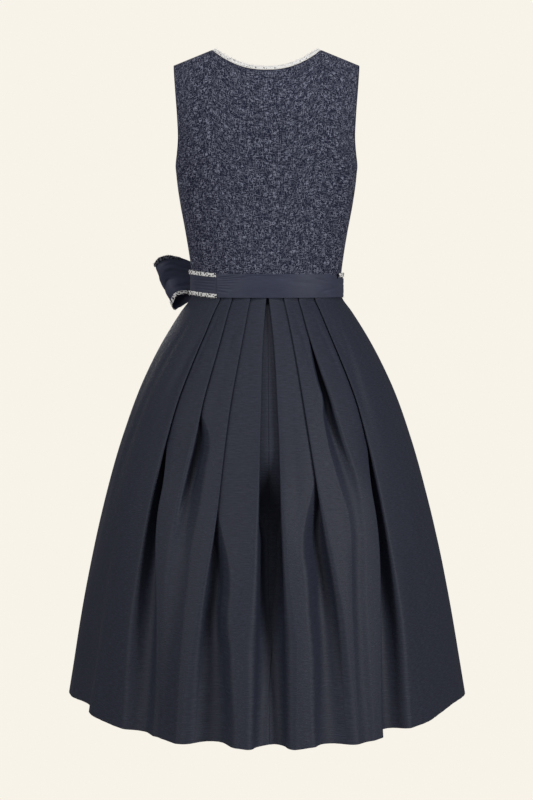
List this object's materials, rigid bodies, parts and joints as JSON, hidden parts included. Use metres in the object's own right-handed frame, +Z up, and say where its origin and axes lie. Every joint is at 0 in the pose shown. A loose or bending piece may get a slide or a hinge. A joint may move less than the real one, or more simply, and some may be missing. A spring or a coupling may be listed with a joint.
{
  "type": "dirndl dress",
  "caption": "Sleeveless fitted bodice with a gathered, pleated midi skirt, an apron, a tied sash with a bow at the side, and a frayed neck braid.",
  "frame": {"origin": "between the shoulders, at the height at which the straps rest on them", "axes": "+Z up, +Y to the wearer's back, +X to the wearer's left"},
  "size_m": [0.6934, 0.7235, 1.1117],
  "materials": {
    "bodice_back": "napped wool-blend melange",
    "bodice_front_left": "napped wool-blend melange",
    "bodice_front_right": "napped wool-blend melange",
    "neck_braid": "frayed woven braid",
    "button_1": "satin",
    "button_2": "satin",
    "button_3": "satin",
    "button_4": "satin",
    "button_5": "satin",
    "button_6": "satin",
    "skirt_back_left": "slub taffeta, half matt",
    "skirt_back_right": "slub taffeta, half matt",
    "skirt_front_left": "slub taffeta, half matt",
    "skirt_front_right": "slub taffeta, half matt",
    "apron_panel": "plain taffeta",
    "apron_band": "satin ribbon",
    "band_braid_upper": "frayed woven braid",
    "band_braid_lower": "frayed woven braid",
    "tie_ribbon": "satin ribbon",
    "bow_knot": "satin ribbon",
    "bow_loop_side": "satin ribbon",
    "bow_loop_side_braid_upper": "frayed woven braid",
    "bow_loop_side_braid_lower": "frayed woven braid",
    "bow_loop_front": "satin ribbon",
    "bow_loop_front_braid_upper": "frayed woven braid",
    "bow_loop_front_braid_lower": "frayed woven braid",
    "bow_tail_long": "satin ribbon",
    "bow_tail_long_braid_left": "frayed woven braid",
    "bow_tail_long_braid_right": "frayed woven braid",
    "bow_tail_short": "satin ribbon",
    "bow_tail_short_braid_left": "frayed woven braid",
    "bow_tail_short_braid_right": "frayed woven braid"
  },
  "bodies": {
    "root": {"bodice_back": "bodice_back", "bodice_front_left": "bodice_front_left", "bodice_front_right": "bodice_front_right", "neck_braid": "neck_braid", "button_1": "button_1", "button_2": "button_2", "button_3": "button_3", "button_4": "button_4", "button_5": "button_5", "button_6": "button_6", "skirt_back_left": "skirt_back_left", "skirt_back_right": "skirt_back_right", "skirt_front_left": "skirt_front_left", "skirt_front_right": "skirt_front_right", "apron_panel": "apron_panel", "apron_band": "apron_band", "band_braid_upper": "band_braid_upper", "band_braid_lower": "band_braid_lower", "tie_ribbon": "tie_ribbon", "bow_knot": "bow_knot", "bow_loop_side": "bow_loop_side", "bow_loop_side_braid_upper": "bow_loop_side_braid_upper", "bow_loop_side_braid_lower": "bow_loop_side_braid_lower", "bow_loop_front": "bow_loop_front", "bow_loop_front_braid_upper": "bow_loop_front_braid_upper", "bow_loop_front_braid_lower": "bow_loop_front_braid_lower", "bow_tail_long": "bow_tail_long", "bow_tail_long_braid_left": "bow_tail_long_braid_left", "bow_tail_long_braid_right": "bow_tail_long_braid_right", "bow_tail_short": "bow_tail_short", "bow_tail_short_braid_left": "bow_tail_short_braid_left", "bow_tail_short_braid_right": "bow_tail_short_braid_right"}
  },
  "joints": []
}
